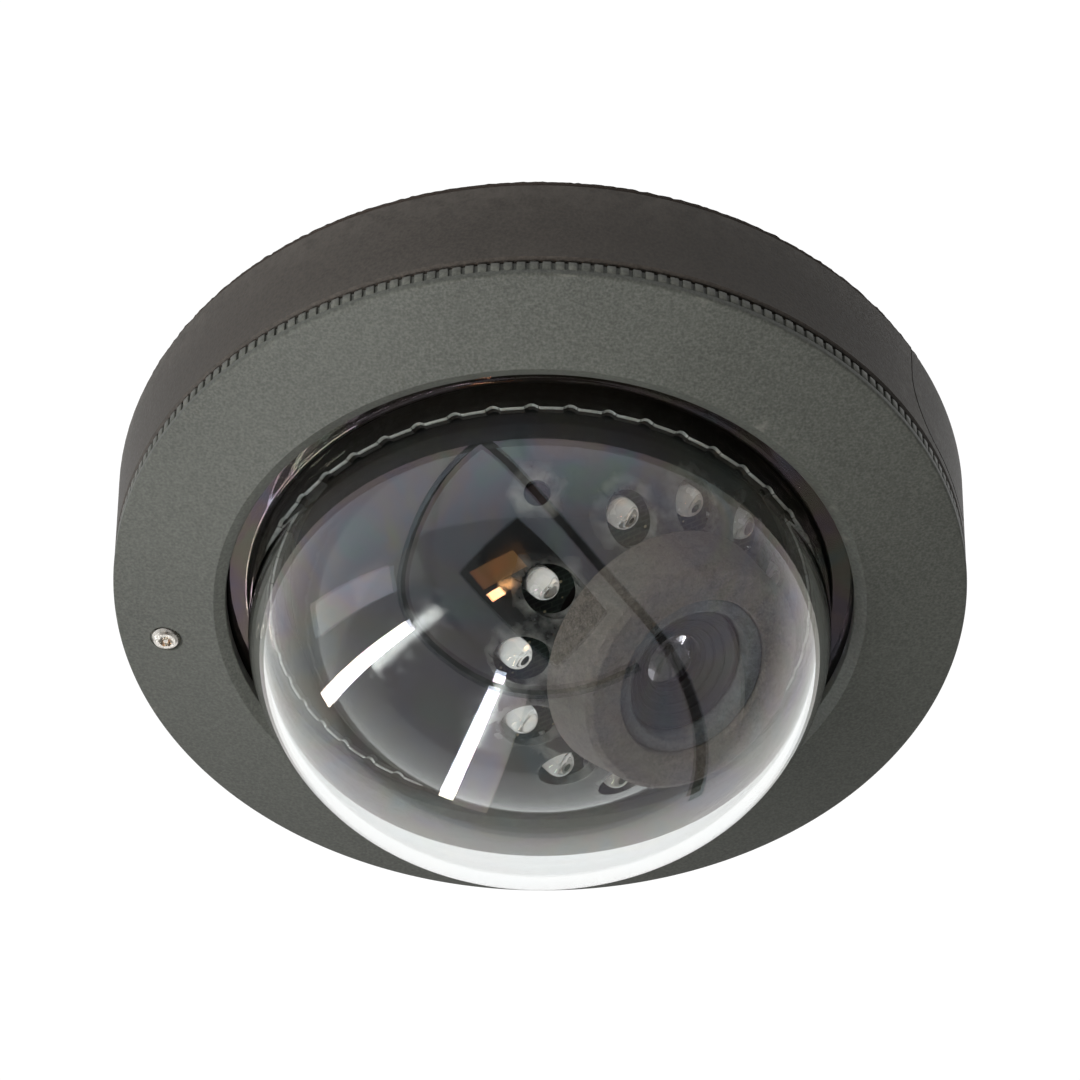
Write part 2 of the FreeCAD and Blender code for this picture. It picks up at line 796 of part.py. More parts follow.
def circuit_board(name, face, label):
    board = box(name, "board_width", "board_width", "board_thick", face + " - board_thick")
    half = size("post_spacing") / 2
    spots = [aside(x, y) for x in (-half, half) for y in (-half, half)]
    holes = [rod(name + "_hole", "1.1", "4", face + " - 3", spot) for spot in spots]
    keep(cut(name + "_drilled", board, fused(name + "_holes", holes), HEAD), label)


def module_boards():
    circuit_board("sensor_card", "sensor_board_face", "sensor_board")
    circuit_board("power_card", "power_board_face", "power_board")
    half = size("post_spacing") / 2
    spots = [aside(x, y) for x in (-half, half) for y in (-half, half)]
    gap = "sensor_board_face - board_thick - power_board_face"
    posts = []
    for spot in spots:
        post = primitive("Prism", "post_block", Circumradius="2.2", Height=gap)
        post.Placement = spot * aside(0, 0, size("power_board_face"))
        post.Polygon = 6
        posts.append(post)
    keep(grouped("post_set", posts, HEAD), "board_standoffs")
    lift = aside(0, 0, size("sensor_board_face"))
    screws = [pan_head_screw("board_screw", "0.99", "1.8", "board_thick", spot * lift, "1.2") for spot in spots]
    keep(grouped("board_screw_set", screws, HEAD), "board_screws")
    keep(box("sensor_chip", "9", "9", "1.2", "sensor_board_face", HEAD), "image_sensor")
    keep(box("processor", "12", "12", "1.4", "power_board_face", HEAD), "processor_chip")
    under = "power_board_face - board_thick - 3"
    plug = primitive("Box", "plug_block", Length="10", Width="5", Height="3")
    plug.Placement = HEAD * aside(-5, 6, size(under))
    keep(plug, "lead_socket")


def lens():
    holder = box("holder_block", "20", "20", "5.4", "sensor_board_face")
    tower = rod("holder_tower", "9", "10", "sensor_board_face")
    cavity = box("holder_cavity", "13", "13", "3", "sensor_board_face - 0.2")
    bore = rod("holder_bore", "barrel_radius - 0.98", "12", "sensor_board_face")
    room = fused("holder_room", [cavity, bore])
    keep(cut("holder", fused("holder_solid", [holder, tower]), room, HEAD), "lens_holder")
    barrel = turned(
        "barrel",
        [
            ("barrel_radius - 2.2", "barrel_rear"),
            ("barrel_radius - 1", "barrel_rear"),
            ("barrel_radius - 1", "sensor_board_face + 10.2"),
            ("barrel_radius", "sensor_board_face + 10.2"),
            ("barrel_radius", "barrel_shoulder"),
            ("barrel_front_radius", "barrel_shoulder"),
            ("barrel_front_radius", "barrel_front - 0.4"),
            ("barrel_front_radius - 0.4", "barrel_front"),
            ("barrel_front_radius - 1", "barrel_front"),
            ("front_glass_radius", "barrel_front - front_glass_depth"),
            ("front_glass_radius", "barrel_front - front_glass_depth - 2.4"),
            ("front_glass_radius - 1.4", "barrel_front - front_glass_depth - 2.4"),
            ("front_glass_radius - 1.4", "barrel_front - front_glass_depth - 4"),
            ("barrel_radius - 2.2", "barrel_front - front_glass_depth - 6"),
        ],
        HEAD,
    )
    keep(barrel, "lens_barrel")
    glass = turned(
        "front_element",
        [
            ("0", "barrel_front - front_glass_depth - 2.3"),
            ("front_glass_radius - 0.02", "barrel_front - front_glass_depth - 2.3"),
            ("front_glass_radius - 0.02", "barrel_front - front_glass_depth - 1.2"),
            ("front_glass_radius - 0.8", "barrel_front - front_glass_depth - 0.4"),
            ("2", "barrel_front - front_glass_depth + 0.1"),
            ("0", "barrel_front - front_glass_depth + 0.3"),
        ],
        HEAD,
    )
    keep(glass, "front_lens")
    rear = turned(
        "rear_element",
        [
            ("0", "barrel_rear + 0.6"),
            ("3", "barrel_rear + 1"),
            ("barrel_radius - 2.25", "barrel_rear + 2"),
            ("barrel_radius - 2.25", "barrel_rear + 4"),
            ("0", "barrel_rear + 5"),
        ],
        HEAD,
    )
    keep(rear, "rear_lens")


def setting_ring(name, label, low, high, pin_angle, pin_label):
    """A ring that turns on the barrel, with a small lock screw standing out of its side."""
    ring = turned(
        name,
        [
            ("barrel_radius + 0.06", low),
            ("barrel_radius + ring_depth - 0.4", low),
            ("barrel_radius + ring_depth", low + " + 0.4"),
            ("barrel_radius + ring_depth", high + " - 0.4"),
            ("barrel_radius + ring_depth - 0.4", high),
            ("barrel_radius + 0.06", high),
        ],
    )
    middle = size("(%s + %s) / 2" % (low, high))
    outward = Placement(Vector(0, 0, middle), Rotation(Vector(0, 1, 0), 90))
    place = about_z(pin_angle) * outward
    seat = rod(name + "_pin_seat", "0.84", "4", "barrel_radius + 0.3", place)
    keep(cut(name + "_drilled", ring, seat, HEAD), label)
    stem = rod(name + "_stem", "0.8", "3", "barrel_radius + 0.6")
    head = rod(name + "_thumb", "1.3", "2.2", "barrel_radius + 3")
    keep(fused(name + "_pin", [stem, head], HEAD * place), pin_label)


# ---- build ----------------------------------------------------------------------------------


def build():
    base_housing()
    side_entry_cap()
    mounting_gasket()
    cable_grommet()
    cover_seal()
    cover_bezel()
    clear_dome()
    dome_seal()
    dome_retaining_ring()
    ring_screws()
    security_screw()
    screw_retaining_washer()
    gimbal_retainer()
    pan_yoke()
    pivots()
    ball_shell()
    light_sensor()
    lamps()
    hood()
    module_boards()
    lens()
    setting_ring("zoom", "zoom_ring", "29.4", "33.2", 200.0, "zoom_lock_screw")
    setting_ring("focus", "focus_ring", "33.6", "37.8", 260.0, "focus_lock_screw")


def check():
    doc.recompute()
    for thing in doc.Objects:
        if "Invalid" in thing.State or "Error" in thing.State:
            raise RuntimeError("%s failed: %s" % (thing.Name, thing.State))
    for part in parts:
        if part.Shape.isNull() or not part.Shape.isValid() or not part.Shape.Solids:
            raise RuntimeError("%s has no valid solid" % part.Label)


def write():
    os.makedirs("parts", exist_ok=True)
    for part in parts:
        part.Shape.exportStep("parts/%s.step" % part.Label)
        print("%-26s %2d solid(s) %10.1f mm3" % (part.Label, len(part.Shape.Solids), part.Shape.Volume))


build()
check()
write()
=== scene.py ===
import json
import math
import random

import bmesh
import bpy
from mathutils import Matrix, Vector, noise


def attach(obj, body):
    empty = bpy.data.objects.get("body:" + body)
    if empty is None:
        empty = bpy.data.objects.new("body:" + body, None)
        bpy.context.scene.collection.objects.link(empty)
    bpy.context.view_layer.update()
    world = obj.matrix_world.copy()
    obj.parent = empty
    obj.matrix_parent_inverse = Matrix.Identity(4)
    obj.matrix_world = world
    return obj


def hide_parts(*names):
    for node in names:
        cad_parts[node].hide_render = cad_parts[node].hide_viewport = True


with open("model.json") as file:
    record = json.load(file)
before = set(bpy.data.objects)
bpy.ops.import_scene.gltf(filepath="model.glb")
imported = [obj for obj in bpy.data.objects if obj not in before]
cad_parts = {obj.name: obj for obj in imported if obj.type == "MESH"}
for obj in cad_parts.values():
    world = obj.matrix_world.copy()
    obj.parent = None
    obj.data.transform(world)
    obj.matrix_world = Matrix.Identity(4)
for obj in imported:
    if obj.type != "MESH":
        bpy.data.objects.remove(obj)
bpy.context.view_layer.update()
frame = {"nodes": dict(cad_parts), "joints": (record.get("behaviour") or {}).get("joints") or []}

MM = 0.001
NODES = frame["nodes"]

# ---- sizes of the pieces made here, in millimetres, in the row frame ---------------------------

RIM_RADIUS = 72.5
OPENING_RADIUS = 53.3
TOOTH_COUNT = 220
LOCK_RADIUS, LOCK_AZIMUTH = 64.4, math.radians(173.4)
DOME_RADIUS, DOME_DEPTH, DOME_WALL, DOME_SHOULDER = 49.2, 37.4, 2.4, -30.5
FLANGE_RADIUS, FLANGE_LOW, FLANGE_TOP = 60.0, -21.9, -19.5
LAMP_COUNT, LAMP_STEP, LAMP_CIRCLE, LAMP_SEAT = 12, 29.0, 24.6, 28.2
GAP_ANGLE = 272.5

JOINT = {joint["name"]: joint for joint in frame["joints"]}


def head_frame():
    """Local Z along the lens and local Y along the tilt axis, about the centre of the ball."""
    centre = Vector(JOINT["module_turn"]["pos_m"])
    along = Vector(JOINT["module_turn"]["axis"]).normalized()
    side = Vector(JOINT["tilt"]["axis"]).normalized()
    across = side.cross(along).normalized()
    turn = Matrix((across, side, along)).transposed().to_4x4()
    return Matrix.Translation(centre) @ turn


HEAD = head_frame()


# ---- mesh helpers ------------------------------------------------------------------------------


def arc_corner(before, corner, after, radius, steps=5):
    """Points that round the corner of an outline with an arc of that radius."""
    a, b = before - corner, after - corner
    angle = a.angle(b)
    if radius <= 0 or angle > math.pi - 0.02:
        return [corner]
    cut = min(radius / math.tan(angle / 2), a.length * 0.48, b.length * 0.48)
    bend = cut * math.tan(angle / 2)
    start, end = corner + a.normalized() * cut, corner + b.normalized() * cut
    middle = corner + (a.normalized() + b.normalized()).normalized() * (bend / math.sin(angle / 2))
    first, last = start - middle, end - middle
    sweep = first.angle_signed(last)
    points = []
    for step in range(steps + 1):
        t = -sweep * step / steps
        ct, st = math.cos(t), math.sin(t)
        points.append(middle + Vector((first.x * ct - first.y * st, first.x * st + first.y * ct)))
    return points


def rounded(corners, steps=5, closed=True):
    """An outline from (radius, height, rounding) corners, in millimetres."""
    spots = [Vector((x, y)) for x, y, _ in corners]
    count = len(spots)
    line = []
    for i, (_, _, rounding) in enumerate(corners):
        if not closed and i in (0, count - 1):
            line.append(spots[i])
        else:
            line += arc_corner(spots[i - 1], spots[i], spots[(i + 1) % count], rounding, steps)
    return [(p.x, p.y) for p in line]


def grid_faces(rows, columns):
    """Faces of a sheet whose vertices run row by row."""
    return [(i * columns + j, i * columns + j + 1, (i + 1) * columns + j + 1, (i + 1) * columns + j)
            for i in range(rows - 1) for j in range(columns - 1)]


def new_object(name, verts, faces, place=Matrix.Identity(4), sharp=35.0):
    mesh = bpy.data.meshes.new(name)
    mesh.from_pydata([tuple(v) for v in verts], [], faces)
    bm = bmesh.new()
    bm.from_mesh(mesh)
    bmesh.ops.remove_doubles(bm, verts=bm.verts, dist=1e-7)
    bmesh.ops.recalc_face_normals(bm, faces=bm.faces)
    bm.to_mesh(mesh)
    bm.free()
    mesh.transform(place)
    mesh.polygons.foreach_set("use_smooth", [True] * len(mesh.polygons))
    mesh.set_sharp_from_angle(angle=math.radians(sharp))
    thing = bpy.data.objects.new(name, mesh)
    bpy.context.scene.collection.objects.link(thing)
    return thing


def lathe_mesh(line, segments, closed=True):
    """Vertices and faces of an outline of (radius, height) millimetres turned about Z."""
    verts, faces = [], []
    rows = len(line)
    for s in range(segments):
        a = 2 * math.pi * s / segments
        ca, sa = math.cos(a), math.sin(a)
        verts += [(r * MM * ca, r * MM * sa, z * MM) for r, z in line]
    for s in range(segments):
        here, there = s * rows, ((s + 1) % segments) * rows
        for i in range(rows if closed else rows - 1):
            j = (i + 1) % rows
            faces.append((here + i, there + i, there + j, here + j))
    return verts, faces


def lathe(name, line, segments=192, place=Matrix.Identity(4), closed=True, sharp=35.0):
    return new_object(name, *lathe_mesh(line, segments, closed), place, sharp)


def joined(name, things):
    """One object out of several built at the same place."""
    bm = bmesh.new()
    for thing in things:
        bm.from_mesh(thing.data)
    mesh = bpy.data.meshes.new(name)
    bm.to_mesh(mesh)
    bm.free()
    mesh.polygons.foreach_set("use_smooth", [True] * len(mesh.polygons))
    mesh.set_sharp_from_angle(angle=math.radians(35))
    for thing in things:
        bpy.data.objects.remove(thing)
    result = bpy.data.objects.new(name, mesh)
    bpy.context.scene.collection.objects.link(result)
    return result


def carved(base, cutter):
    """base with cutter taken out of it, as plain mesh."""
    modifier = base.modifiers.new("carve", "BOOLEAN")
    modifier.operation = "DIFFERENCE"
    modifier.solver = "EXACT"
    modifier.object = cutter
    bpy.context.view_layer.update()
    mesh = bpy.data.meshes.new_from_object(base.evaluated_get(bpy.context.evaluated_depsgraph_get()))
    base.modifiers.clear()
    base.data = mesh
    mesh.polygons.foreach_set("use_smooth", [True] * len(mesh.polygons))
    mesh.set_sharp_from_angle(angle=math.radians(35))
    bpy.data.objects.remove(cutter)
    return base


def about_z(angle):
    return Matrix.Rotation(angle, 4, "Z")


def shift(x, y, z):
    return Matrix.Translation(Vector((x, y, z)) * MM)


def dress(thing, material, body=None, replaced=()):
    thing.data.materials.clear()
    thing.data.materials.append(material)
    if body:
        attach(thing, body)
    if replaced:
        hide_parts(*replaced)
    return thing


# ---- material helpers --------------------------------------------------------------------------


class Wires:
    """Short calls for building one material's node tree."""

    def __init__(self, name):
        self.material = bpy.data.materials.new(name)
        self.material.use_nodes = True
        self.tree = self.material.node_tree
        self.shader = self.tree.nodes["Principled BSDF"]
        self.output = self.tree.nodes["Material Output"]
        self.where = self.add("ShaderNodeTexCoord").outputs["Object"]

    def add(self, kind, **settings):
        node = self.tree.nodes.new(kind)
        for key, value in settings.items():
            setattr(node, key, value)
        return node

    def link(self, source, target):
        self.tree.links.new(source, target)

    def noise(self, scale, detail=3.0, rough=0.6, stretch=None, warp=0.0):
        node = self.add("ShaderNodeTexNoise")
        node.inputs["Scale"].default_value = scale
        node.inputs["Detail"].default_value = detail
        node.inputs["Roughness"].default_value = rough
        node.inputs["Distortion"].default_value = warp
        place = self.where
        if stretch:
            mapping = self.add("ShaderNodeMapping")
            mapping.inputs["Scale"].default_value = stretch
            self.link(self.where, mapping.inputs["Vector"])
            place = mapping.outputs[0]
        self.link(place, node.inputs["Vector"])
        return node.outputs["Fac"]

    def cells(self, scale, feature="F1"):
        node = self.add("ShaderNodeTexVoronoi", feature=feature)
        node.inputs["Scale"].default_value = scale
        self.link(self.where, node.inputs["Vector"])
        return node.outputs["Distance"]

    def spread(self, value, low, high, to_low, to_high):
        node = self.add("ShaderNodeMapRange")
        for socket, number in zip(("From Min", "From Max", "To Min", "To Max"), (low, high, to_low, to_high)):
            node.inputs[socket].default_value = number
        self.link(value, node.inputs["Value"])
        return node.outputs[0]

    def times(self, first, second):
        node = self.add("ShaderNodeMath", operation="MULTIPLY")
        for value, socket in ((first, node.inputs[0]), (second, node.inputs[1])):
            if isinstance(value, (int, float)):
                socket.default_value = value
            else:
                self.link(value, socket)
        return node.outputs[0]

    def mix(self, factor, first, second):
        node = self.add("ShaderNodeMix", data_type="RGBA")
        colours = (node.inputs[6], node.inputs[7])
        for value, socket in zip((first, second), colours):
            if isinstance(value, tuple):
                socket.default_value = (*value, 1.0)
            else:
                self.link(value, socket)
        self.link(factor, node.inputs[0])
        return node.outputs[2]

    def edges(self, low=0.52, high=0.6):
        """1 on sharp outer edges, broken up by noise."""
        bent = self.add("ShaderNodeNewGeometry").outputs["Pointiness"]
        worn = self.spread(bent, low, high, 0.0, 1.0)
        return self.times(worn, self.spread(self.noise(350.0, 4.0), 0.38, 0.62, 0.15, 1.0))

    def bump(self, height, strength, distance, normal=None):
        node = self.add("ShaderNodeBump")
        node.inputs["Strength"].default_value = strength
        node.inputs["Distance"].default_value = distance
        self.link(height, node.inputs["Height"])
        if normal:
            self.link(normal, node.inputs["Normal"])
        return node.outputs[0]

    def set(self, **constants):
        for key, value in constants.items():
            self.shader.inputs[key.replace("_", " ")].default_value = value


def shade(colour, factor):
    return tuple(min(1.0, channel * factor) for channel in colour)


def solid(name, colour, rough, metal=0.0, grain=1200.0, grain_depth=0.15, spread=0.2, cloud=45.0,
          edge=None, edge_amount=0.5, relief=0.00006, stretch=None, specular=0.5, coat=0.0, sheen=0.0):
    """A surface with cloudy colour, fine grain in colour, roughness and relief, and paler sharp edges: wear,
    and on the ring plastic and its lip also a painted highlight.
    """
    w = Wires(name)
    cloudy = w.spread(w.noise(cloud, 4.0), 0.3, 0.7, 0.0, 1.0)
    base = w.mix(cloudy, shade(colour, 1 - spread), shade(colour, 1 + spread))
    fine = w.noise(grain, 2.0, 0.55, stretch)
    speckle = w.spread(fine, 0.3, 0.7, 0.0, 1.0)
    base = w.mix(w.times(speckle, grain_depth), base, shade(colour, 1.7))
    if edge:
        base = w.mix(w.times(w.edges(), edge_amount), base, edge)
    w.link(base, w.shader.inputs["Base Color"])
    w.link(w.spread(fine, 0.3, 0.7, rough - 0.06, rough + 0.08), w.shader.inputs["Roughness"])
    w.link(w.bump(fine, 0.35, relief), w.shader.inputs["Normal"])
    w.set(Metallic=metal, Specular_IOR_Level=specular, Coat_Weight=coat, Sheen_Weight=sheen)
    return w.material


def powder_coat(name, colour, edge, rough=0.5, grain=2300.0):
    """Fine powder coat: a pebbled grain, a few larger nibs, slight cloudiness and rubbed edges."""
    w = Wires(name)
    cloudy = w.spread(w.noise(28.0, 5.0), 0.3, 0.7, 0.0, 1.0)
    base = w.mix(cloudy, shade(colour, 0.88), shade(colour, 1.12))
    fine = w.noise(grain, 2.0, 0.5)
    pebbles = w.cells(grain * 0.55)
    light = w.spread(fine, 0.36, 0.68, 0.0, 1.0)
    base = w.mix(w.times(light, 0.42), base, shade(colour, 2.5))
    dark = w.spread(pebbles, 0.15, 0.6, 0.32, 0.0)
    base = w.mix(dark, base, shade(colour, 0.45))
    base = w.mix(w.times(w.edges(), 0.45), base, edge)
    w.link(base, w.shader.inputs["Base Color"])
    w.link(w.spread(fine, 0.3, 0.7, rough - 0.08, rough + 0.1), w.shader.inputs["Roughness"])
    relief = w.bump(fine, 0.55, 0.00007)
    w.link(w.bump(pebbles, 0.3, 0.00006, relief), w.shader.inputs["Normal"])
    w.set(Metallic=0.0, Specular_IOR_Level=0.25)
    return w.material


def clear(name, tint, ior, haze=0.03, smudge=60.0, film=45.0):
    """Clear plastic or glass with faint smears and film colours; lamps shine through it without bending."""
    w = Wires(name)
    smear = w.noise(smudge, 4.0, 0.6, (1.0, 1.0, 0.4), 0.8)
    w.link(w.mix(smear, shade(tint, 0.985), tint), w.shader.inputs["Base Color"])
    w.link(w.spread(smear, 0.45, 0.8, 0.0, haze), w.shader.inputs["Roughness"])
    w.link(w.bump(w.noise(22.0, 1.0), 0.06, 0.0002), w.shader.inputs["Normal"])
    thickness = w.spread(w.noise(film, 3.0, 0.6, None, 1.5), 0.3, 0.7, 240.0, 400.0)
    w.link(thickness, w.shader.inputs["Thin Film Thickness"])
    w.set(Transmission_Weight=1.0, IOR=ior, Thin_Film_IOR=1.64)
    passing = w.add("ShaderNodeBsdfTransparent")
    passing.inputs["Color"].default_value = (*shade(tint, 0.93), 1.0)
    path = w.add("ShaderNodeLightPath")
    blend = w.add("ShaderNodeMixShader")
    w.link(path.outputs["Is Shadow Ray"], blend.inputs[0])
    w.link(w.shader.outputs[0], blend.inputs[1])
    w.link(passing.outputs[0], blend.inputs[2])
    w.link(blend.outputs[0], w.output.inputs["Surface"])
    return w.material


def felt_material(name, dark, pale, sheen=0.35):
    """Dense felt: matted fine fibres, scattered pale and dark hairs and a soft sheen."""
    w = Wires(name)
    clumps = w.spread(w.noise(700.0, 6.0, 0.75), 0.36, 0.64, 0.0, 1.0)
    base = w.mix(clumps, dark, pale)
    fuzz = w.spread(w.noise(3400.0, 2.0, 0.6, None, 1.2), 0.5, 0.68, 0.0, 0.5)
    base = w.mix(fuzz, base, shade(pale, 1.8))
    specks = w.spread(w.noise(2600.0, 2.0, 0.5, (1.3, 0.9, 1.0), 0.8), 0.56, 0.68, 0.0, 0.6)
    base = w.mix(specks, base, shade(dark, 0.5))
    w.link(base, w.shader.inputs["Base Color"])
    w.link(w.spread(clumps, 0.0, 1.0, 0.82, 0.98), w.shader.inputs["Roughness"])
    relief = w.bump(fuzz, 0.6, 0.00012)
    w.link(w.bump(clumps, 0.5, 0.0002, relief), w.shader.inputs["Normal"])
    w.set(Sheen_Weight=sheen, Sheen_Roughness=0.5, Specular_IOR_Level=0.15)
    return w.material


def board_material(name, mask, track):
    """Solder mask with tracks seen through it and a few bare pads."""
    w = Wires(name)
    lines = w.add("ShaderNodeTexBrick")
    lines.inputs["Scale"].default_value = 260.0
    lines.inputs["Mortar Size"].default_value = 0.035
    lines.inputs["Color1"].default_value = (*mask, 1)
    lines.inputs["Color2"].default_value = (*shade(mask, 1.25), 1)
    lines.inputs["Mortar"].default_value = (*track, 1)
    w.link(w.where, lines.inputs["Vector"])
    pads = w.spread(w.cells(430.0), 0.1, 0.14, 0.8, 0.0)
    base = w.mix(pads, lines.outputs["Color"], (0.62, 0.55, 0.36))
    w.link(base, w.shader.inputs["Base Color"])
    w.link(w.spread(w.noise(900.0), 0.3, 0.7, 0.28, 0.42), w.shader.inputs["Roughness"])
    w.link(w.bump(lines.outputs["Fac"], 0.3, 0.00004), w.shader.inputs["Normal"])
    return w.material


COATED = powder_coat("CoatedMetal", (0.053, 0.056, 0.049), (0.16, 0.16, 0.14))
DRUM = powder_coat("DrumMetal", (0.034, 0.030, 0.026), (0.11, 0.10, 0.088), 0.58)
FOAM = solid("FoamRubber", (0.040, 0.032, 0.027), 0.92, grain=900.0, grain_depth=0.3, relief=0.0003,
             specular=0.2)
RUBBER = solid("Rubber", (0.022, 0.022, 0.022), 0.75, grain=1500.0, specular=0.3, edge=(0.08, 0.08, 0.08))
CLEAR_DOME = clear("ClearPolycarbonate", (0.965, 0.985, 0.98), 1.58)
# the ring's paler sharp edges are wear and also a painted highlight along its scalloped edge
RING = solid("RingPlastic", (0.006, 0.005, 0.004), 0.68, edge=(0.03, 0.03, 0.028), edge_amount=0.3,
             relief=0.00001, specular=0.15)
# pale grey lip: a painted highlight for the bright line along the ring's scalloped edge
RING_LIP_HIGHLIGHT = solid("RingLipPaintedHighlight", (0.16, 0.165, 0.155), 0.3, grain=1500.0, edge=(0.4, 0.4, 0.38))
STEEL = solid("ScrewSteel", (0.66, 0.63, 0.58), 0.22, 1.0, 2600.0, 0.1, edge=(0.85, 0.82, 0.76),
              stretch=(1, 1, 0.1))
ZINC = solid("ZincSteel", (0.55, 0.55, 0.52), 0.3, 1.0, 2600.0, 0.12, edge=(0.8, 0.8, 0.76))
NYLON_BLACK = solid("GlassFilledNylon", (0.03, 0.03, 0.031), 0.5, grain=1800.0, edge=(0.12, 0.12, 0.12))
NYLON_WHITE = solid("NaturalNylon", (0.72, 0.71, 0.64), 0.4, grain=1300.0, edge=(0.85, 0.84, 0.78))
GLOSS = solid("GlossBlack", (0.006, 0.0065, 0.007), 0.1, grain=700.0, grain_depth=0.1, relief=0.000006,
              edge=(0.2, 0.2, 0.19))
CHIP = solid("ChipEpoxy", (0.018, 0.018, 0.019), 0.55, grain=3000.0, edge=(0.1, 0.1, 0.1))
LENS_BLACK = solid("BlackAnodised", (0.006, 0.006, 0.007), 0.45, 0.0, 2200.0, 0.12,
                   edge=(0.08, 0.08, 0.085), specular=0.3)
PHOTOCELL = solid("PhotocellFace", (0.003, 0.0025, 0.0025), 0.5, grain=1600.0, edge=(0.04, 0.03, 0.03),
                  specular=0.06)
GREEN = board_material("BoardGreen", (0.014, 0.11, 0.05), (0.05, 0.22, 0.10))
DARK_BOARD = board_material("LampBoard", (0.014, 0.022, 0.02), (0.04, 0.06, 0.05))
FELT = felt_material("HoodFelt", (0.036, 0.031, 0.027), (0.092, 0.081, 0.071), 0.15)
FELT_INNER = felt_material("InnerFelt", (0.030, 0.034, 0.038), (0.075, 0.083, 0.09), 0.15)
EPOXY = clear("LampEpoxy", (0.985, 0.99, 0.99), 1.53, 0.01)
GLASS = clear("CoatedGlass", (0.86, 0.82, 0.93), 1.62, 0.004)
SILVER = solid("LampReflector", (0.93, 0.93, 0.91), 0.22, 0.25, 1800.0, 0.05, edge=(0.95, 0.95, 0.92))
DIE = solid("LampDie", (0.80, 0.74, 0.66), 0.3, 0.1, 2500.0, edge=(0.9, 0.85, 0.7))
DARK_CLOTH = solid("DarkCloth", (0.022, 0.016, 0.013), 0.9, grain=300.0, relief=0.0004, specular=0.1)
PALE_FLOOR = solid("PaleFloor", (0.62, 0.62, 0.61), 0.7, grain=40.0, grain_depth=0.02, spread=0.02, cloud=2.0,
                   relief=0.0002)

WORN_BY_CAD = {
    DRUM: ["base_housing", "side_entry_cap"],
    RUBBER: ["cable_grommet", "cover_seal", "dome_seal", "screw_retaining_washer"],
    STEEL: ["security_screw"],
    ZINC: ["ring_screws", "retainer_screws", "tilt_pivot_screws", "pivot_nuts", "board_standoffs",
           "board_screws", "zoom_lock_screw", "focus_lock_screw"],
    NYLON_BLACK: ["gimbal_retainer", "pan_yoke"],
    NYLON_WHITE: ["friction_washers", "lead_socket"],
    GLOSS: ["ball_shell"],
    PHOTOCELL: ["light_sensor"],
    DARK_BOARD: ["lamp_board"],
    GREEN: ["sensor_board", "power_board"],
    CHIP: ["image_sensor", "processor_chip"],
    LENS_BLACK: ["lens_holder", "lens_barrel", "zoom_ring", "focus_ring"],
    RING: ["dome_retaining_ring"],
    GLASS: ["rear_lens"],
}
for material, names in WORN_BY_CAD.items():
    for name in names:
        dress(NODES[name], material)


# ---- cover -------------------------------------------------------------------------------------


def knurled_teeth():
    """The band of square teeth, each with softened edges, as one closed ring."""
    inner, root, tip = 71.0, 72.0, RIM_RADIUS
    heights = [(-21.95, 0.0), (-21.9, 0.75), (-21.75, 1.0), (-20.1, 1.0), (-19.95, 0.75), (-19.9, 0.0)]
    across = [(0.0, 0.0), (0.02, 0.8), (0.1, 1.0), (0.62, 1.0), (0.7, 0.8), (0.72, 0.0)]
    verts, faces = [], []
    columns = TOOTH_COUNT * len(across)
    rows = len(heights)
    for tooth in range(TOOTH_COUNT):
        for part, rise in across:
            a = 2 * math.pi * (tooth + part) / TOOTH_COUNT
            for z, edge in heights:
                r = (root + (tip - root) * rise * edge) * MM
                verts.append((r * math.cos(a), r * math.sin(a), z * MM))
    low = len(verts)
    for column in range(columns):
        a = math.atan2(verts[column * rows][1], verts[column * rows][0])
        for z in (heights[0][0], heights[-1][0]):
            verts.append((inner * MM * math.cos(a), inner * MM * math.sin(a), z * MM))
    for column in range(columns):
        here, there = column * rows, ((column + 1) % columns) * rows
        for i in range(rows - 1):
            faces.append((here + i, there + i, there + i + 1, here + i + 1))
        near, far = low + 2 * column, low + 2 * ((column + 1) % columns)
        faces.append((here + rows - 1, there + rows - 1, far + 1, near + 1))
        faces.append((near, far, there, here))
        faces.append((near + 1, far + 1, far, near))
    return new_object("knurled_teeth", verts, faces)


def make_cover():
    """The turned cover with its toothed band, the well of the security screw and its bore."""
    spigot, band, seat = 70.0, 72.05, 60.4
    outline = dense(rounded([
        (spigot, -19.6, 0.1), (71.75, -19.6, 0.15), (band, -19.9, 0.1), (band, -21.92, 0.05),
        (RIM_RADIUS, -21.92, 0.2), (RIM_RADIUS, -23.25, 0.5), (55.35, -26.3, 0.3),
        (OPENING_RADIUS, -25.3, 0.35), (OPENING_RADIUS, -22.9, 0.1), (seat, -22.9, 0.1),
        (seat, -21.9, 0.1), (spigot, -21.9, 0.1),
    ], 6), 1.6)
    shell = lathe("cover_turning", outline, 480)
    place = about_z(LOCK_AZIMUTH) @ shift(LOCK_RADIUS, 0, 0)
    well = rounded([(0, -24.0, 0), (2.8, -24.0, 0.1), (2.8, -25.0, 0.5), (3.3, -25.6, 0.2), (3.3, -30, 0),
                    (0, -30, 0)], 5, False)
    shell = carved(shell, lathe("well", well, 64, place, False))
    bore = lathe("bore", [(0, -18), (0, -30), (1.6, -30), (1.6, -18)], 48, place)
    shell = carved(shell, bore)
    cover = joined("cover_shell", [shell, knurled_teeth()])
    dress(cover, COATED, "cover", ["cover_bezel"])


def ellipse(radius, depth, start, end, steps):
    """Points of the dome's end from one angle to another, in degrees up from the tip."""
    points = []
    for step in range(steps + 1):
        t = math.radians(start + (end - start) * step / steps)
        points.append((radius * math.sin(t), DOME_SHOULDER - depth * math.cos(t)))
    return points


